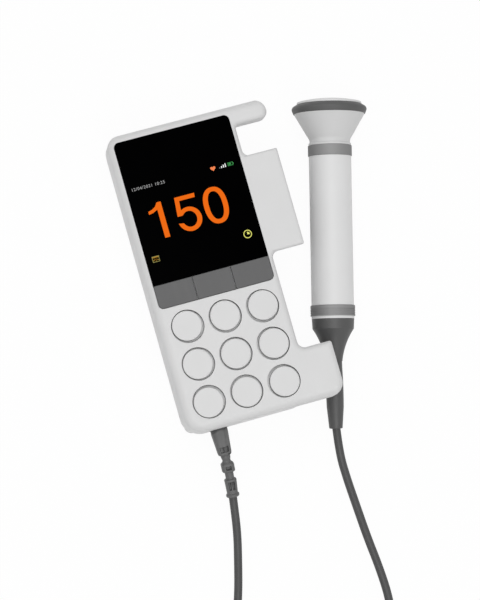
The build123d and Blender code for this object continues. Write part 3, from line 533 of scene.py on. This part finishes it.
def relief_place(station, first, whole):
    """Point and direction of the relief's middle line, which bends softly and bows a little."""
    start, bend, end = Vector(RELIEF_START), Vector(RELIEF_BEND), Vector(RELIEF_END)
    before = (bend - start).normalized()
    after = (end - bend).normalized()
    past = station - first
    if past <= -RELIEF_BLEND:
        socket_axis = Vector((0.0, -1.0, 0.0))
        turned = step_up(station, 0.0, RELIEF_LEVEL)
        return start + before * station, socket_axis.lerp(before, turned).normalized()
    bow = RELIEF_BOW * sin(pi * min(max(past / (whole - first), 0.0), 1.0))
    sideways = after.cross(Vector((0.0, 0.0, 1.0))).normalized() * -bow
    if past >= RELIEF_BLEND:
        return bend + after * past + sideways, after
    share = (past + RELIEF_BLEND) / (2 * RELIEF_BLEND)
    near, far = bend - before * RELIEF_BLEND, bend + after * RELIEF_BLEND
    point = near.lerp(bend, share).lerp(bend.lerp(far, share), share)
    return point + sideways, before.lerp(after, share).normalized()


def relief_rings(rows):
    """The rows with evenly spaced rings between them, fine enough for the pockets."""
    rings = []
    for low, high in zip(rows, rows[1:]):
        steps = max(1, round((high[0] - low[0]) / STATION_STEP))
        for step in range(steps):
            share = step / steps
            rings.append([a + (b - a) * share for a, b in zip(low, high)])
    return rings + [rows[-1]]


def relief_loop(ring, first, whole):
    """Points round one ring of the relief, sunk where a pocket is and slanted on the grip."""
    station, half_width, half_height, squareness = ring
    middle, along = relief_place(station, first, whole)
    side = along.cross(Vector((0.0, 0.0, 1.0))).normalized()
    rise = side.cross(along)
    slant_start = SLANT_START[0] + (SLANT_START[1] - SLANT_START[0]) * station / first
    pockets = relief_pockets(first, whole)
    points = []
    for across, high in rounded_loop((0.0, 0.0), (half_width, half_height), squareness, RING_POINTS):
        sunk = pocket_depth(pockets, station, abs(across))
        sunk *= step_up(abs(high) / half_height, *POCKET_FLANK) * (1 if high > 0 else -1)
        if station < first and high > 0:
            high *= max(1 - SLANT * max(-across - slant_start, 0.0) / half_height, SLANT_LEAST)
        points.append((middle + side * across + rise * (high - sunk)) * MM)
    return points


def make_relief():
    """Ribbed strain relief: a grip next to the socket, then two blocks joined by thin necks."""
    first = (Vector(RELIEF_BEND) - Vector(RELIEF_START)).length
    whole = first + (Vector(RELIEF_END) - Vector(RELIEF_BEND)).length
    built = bmesh.new()
    loops = [
        [built.verts.new(point) for point in relief_loop(ring, first, whole)]
        for ring in relief_rings(relief_rows(first, whole))
    ]
    for loop, following in zip(loops, loops[1:]):
        for index in range(RING_POINTS):
            after = (index + 1) % RING_POINTS
            built.faces.new((loop[index], loop[after], following[after], following[index]))
    built.faces.new(loops[0][::-1])
    built.faces.new(loops[-1])
    bmesh.ops.recalc_face_normals(built, faces=built.faces)
    relief = finish_mesh("plug_relief", built, "boot_grey", finishes["plug_grey"])
    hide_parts("plug_boot")
    return relief


def finish_mesh(name, built, slot, finish):
    """Turn built faces into a dressed piece on the housing."""
    for face in built.faces:
        face.smooth = True
    mesh = bpy.data.meshes.new(name)
    built.to_mesh(mesh)
    built.free()
    mesh.set_sharp_from_angle(angle=SHARP_ANGLE)
    piece = bpy.data.objects.new(name, mesh)
    bpy.context.scene.collection.objects.link(piece)
    return finish_piece(piece, slot, finish)


make_cord(make_relief())


# ------------------------------------------------------------------ display picture
FACE_Z = 30.0               # height of the window's face
PRINT_DEPTH = 0.02
PULSE_MARK = (14.05, 43.75)
PULSE_WIDTH = 2.45
SIGNAL_BARS = 4
BAR_LEFT = 16.95            # left side and foot of the first bar
BAR_FOOT = 43.15
BAR_PITCH = 0.92
BAR_WIDTH = 0.44
BAR_HEIGHT = 0.5            # of the first bar, and how much taller each next one is
BAR_STEP = 0.4
CLOCK_MIDDLE = (21.12, 10.98)
CLOCK_RADIUS = 1.92
CLOCK_STROKE = 0.35
CLOCK_HANDS = (21.0, 10.8)
TIME_PLACE = (-24.55, 43.12)
TIME_HEIGHT = 2.0
TIME_SPACING = 1.17
TIME_NARROWING = 0.95


def arc(centre, radii, start, end, count=16):
    """Points of an ellipse's arc, from one angle to another, in degrees."""
    return [
        (
            centre[0] + radii[0] * cos(radians(start + (end - start) * step / count)),
            centre[1] + radii[1] * sin(radians(start + (end - start) * step / count)),
        )
        for step in range(count + 1)
    ]


def block(low_x, low_y, high_x, high_y):
    """Outline of an upright oblong."""
    return [(low_x, low_y), (high_x, low_y), (high_x, high_y), (low_x, high_y)]


def flat_shape(name, outlines, finish):
    """A thin flat piece on the display window, cut from closed outlines."""
    curve = bpy.data.curves.new(name, "CURVE")
    curve.dimensions = "2D"
    curve.fill_mode = "BOTH"
    curve.extrude = PRINT_DEPTH / 2 * MM
    for outline in outlines:
        line = curve.splines.new("POLY")
        line.points.add(len(outline) - 1)
        for point, place in zip(line.points, outline):
            point.co = (*mm(place[0], place[1], 0.0), 1.0)
        line.use_cyclic_u = True
    piece = bpy.data.objects.new(name, curve)
    piece.location = mm(0.0, 0.0, FACE_Z + PRINT_DEPTH / 2)
    bpy.context.scene.collection.objects.link(piece)
    return finish_piece(piece, "display_glass", finish)


def figure_one():
    """Outline of the figure 1."""
    return [[
        (-13.1, 19.0), (-13.1, 35.6), (-15.0, 35.6), (-16.15, 33.9), (-17.7, 32.95),
        (-19.75, 32.3), (-19.75, 30.95), (-17.7, 31.3), (-15.5, 32.35), (-15.5, 19.0),
    ]]


def figure_five():
    """Outline of the figure 5."""
    outer = arc((-2.3, 24.45), (5.55, 5.6), 122, -171, 40)
    inner = arc((-2.35, 24.5), (3.35, 3.67), -158, 140, 36)
    return [
        [(-6.75, 35.5), (2.65, 35.5), (2.45, 33.55), (-4.9, 33.55)]
        + outer + inner + [(-5.5, 26.7), (-7.5, 26.7)]
    ]


def figure_nought():
    """Outlines of the figure 0."""
    middle = (10.78, 27.48)
    return [rounded_loop(middle, (5.5, 8.5), 2.3), rounded_loop(middle, (3.18, 6.51), 2.3)]


def heart_outline(middle, size):
    """Outline of the pulse mark: two round lobes over a point."""
    points = []
    count = 40
    for step in range(count):
        turn = 2 * pi * step / count
        across = 16 * sin(turn) ** 3
        high = 13 * cos(turn) - 5 * cos(2 * turn) - 2 * cos(3 * turn) - cos(4 * turn)
        points.append((middle[0] + size * across / 32, middle[1] + size * (high + 2.5) / 32))
    return points


def draw_rate():
    """The large figures of the heart rate."""
    orange = lit_figure("lit_orange", (0.89, 0.152, 0.004), (0.82, 0.132, 0.003))
    flat_shape("figure_1", figure_one(), orange)
    flat_shape("figure_5", figure_five(), orange)
    flat_shape("figure_0", figure_nought(), orange)


def draw_pulse_mark():
    """Heart in the upper right of the picture."""
    peach = lit_figure("lit_peach", (0.95, 0.28, 0.11), (0.85, 0.18, 0.05))
    flat_shape("pulse_mark", [heart_outline(PULSE_MARK, PULSE_WIDTH)], peach)


def draw_signal_bars():
    """Bars that grow to the right; the first one is dim."""
    white = lit_figure("lit_white", (0.98, 1.0, 1.0), (0.86, 0.88, 0.88))
    dim = lit_figure("lit_dim_white", (0.20, 0.23, 0.24), (0.15, 0.18, 0.19))
    for step in range(SIGNAL_BARS):
        left = BAR_LEFT + BAR_PITCH * step
        bar = block(left, BAR_FOOT, left + BAR_WIDTH, BAR_FOOT + BAR_HEIGHT + BAR_STEP * step)
        flat_shape(f"signal_bar_{step + 1}", [bar], white if step else dim)


def draw_battery_mark():
    """Battery in the upper right corner: its frame, its charge and its tip."""
    green = lit_figure("lit_green", (0.06, 0.36, 0.10), (0.04, 0.25, 0.06))
    frame_outlines = [block(21.05, 43.25, 23.6, 44.8), block(21.27, 43.47, 23.38, 44.58)]
    flat_shape("battery_frame", frame_outlines, green)
    flat_shape("battery_charge", [block(21.45, 43.65, 22.6, 44.4)], green)
    flat_shape("battery_tip", [block(23.6, 43.7, 23.85, 44.35)], green)


def draw_clock_mark():
    """Clock mark in the lower right: a ring with a lit quarter."""
    yellow = lit_figure("lit_yellow", (0.86, 0.87, 0.19), (0.74, 0.74, 0.16))
    inner = CLOCK_RADIUS - CLOCK_STROKE
    rings = [rounded_loop(CLOCK_MIDDLE, (radius, radius)) for radius in (CLOCK_RADIUS, inner)]
    flat_shape("clock_ring", rings, yellow)
    flat_shape("clock_quarter", [[CLOCK_HANDS] + arc(CLOCK_HANDS, (1.1, 1.2), 0, 90, 12)], yellow)


def draw_trace_mark():
    """Trace mark in the lower left: a small framed chart with a wave in it."""
    amber = lit_figure("lit_amber", (0.42, 0.22, 0.02), (0.34, 0.17, 0.02))
    sand = lit_figure("lit_sand", (0.34, 0.32, 0.10), (0.26, 0.24, 0.08))
    frame_outlines = [block(-23.9, 9.45, -20.6, 12.15), block(-23.67, 9.68, -20.83, 11.92)]
    flat_shape("trace_frame", frame_outlines, sand)
    flat_shape("trace_head", [block(-23.67, 11.45, -20.83, 11.92)], amber)
    wave = [
        (-23.65, 10.45), (-23.05, 10.45), (-22.65, 11.3), (-22.2, 10.0), (-21.8, 11.0),
        (-21.4, 10.45), (-20.85, 10.45),
    ]
    lower = [(x, y - 0.28) for x, y in wave[::-1]]
    flat_shape("trace_wave", [wave + lower], amber)


def draw_clock_time():
    """Date and time in small figures."""
    figures = bpy.data.curves.new("date_and_time", "FONT")
    figures.body = "12/04/2021 10:25"
    figures.size = TIME_HEIGHT * MM
    figures.space_character = TIME_SPACING
    figures.extrude = PRINT_DEPTH / 2 * MM
    piece = bpy.data.objects.new("date_and_time", figures)
    piece.location = mm(*TIME_PLACE, FACE_Z + PRINT_DEPTH / 2)
    piece.scale = (TIME_NARROWING, 1.0, 1.0)
    bpy.context.scene.collection.objects.link(piece)
    finish_piece(piece, "display_glass", lit_figure("lit_grey", grey(0.46), grey(0.32)))


def draw_display():
    """The lit picture: the heart rate, with small marks above and below it."""
    draw_rate()
    draw_pulse_mark()
    draw_signal_bars()
    draw_battery_mark()
    draw_clock_mark()
    draw_trace_mark()
    draw_clock_time()


draw_display()


# ------------------------------------------------------------------ floor
FLOOR_HALF_SIZE = 3.0       # metres
FLOOR_DROP = 0.0001         # metres below the part's lowest point
FLOOR_GLOW = 0.95           # share of plain white in what is seen of the floor
PAPER_LIGHT = 0.88
PAPER_DARK = 0.86


def floor_white():
    """Matt paper that shows nearly white and keeps a light shadow."""
    material = bpy.data.materials.new("floor_white")
    material.use_nodes = True
    tree = material.node_tree
    tree.nodes.remove(shader_of(material))
    matt = add_node(tree, "ShaderNodeBsdfDiffuse")
    texture = put_group(tree, moulded_grain, grain_size=2.0, mottle_size=200.0)
    paper = mix_colours(tree, texture.outputs["Mottle"], grey(PAPER_LIGHT), grey(PAPER_DARK))
    tree.links.new(paper, matt.inputs["Color"])
    bright = add_node(tree, "ShaderNodeEmission")
    share = add_node(tree, "ShaderNodeMath", operation="MULTIPLY")
    share.inputs[1].default_value = FLOOR_GLOW
    tree.links.new(seen_rays(tree), share.inputs[0])
    both = add_node(tree, "ShaderNodeMixShader")
    tree.links.new(share.outputs["Value"], both.inputs["Fac"])
    tree.links.new(matt.outputs["BSDF"], both.inputs[1])
    tree.links.new(bright.outputs["Emission"], both.inputs[2])
    tree.links.new(both.outputs["Shader"], tree.nodes["Material Output"].inputs["Surface"])
    return material


def lay_floor():
    """Wide pale floor under the part."""
    corners = ((-1, -1), (1, -1), (1, 1), (-1, 1))
    places = [(x * FLOOR_HALF_SIZE, y * FLOOR_HALF_SIZE, -FLOOR_DROP) for x, y in corners]
    mesh = bpy.data.meshes.new("floor")
    mesh.from_pydata(places, [], [(0, 1, 2, 3)])
    mesh.materials.append(floor_white())
    floor = bpy.data.objects.new("floor", mesh)
    bpy.context.scene.collection.objects.link(floor)


lay_floor()
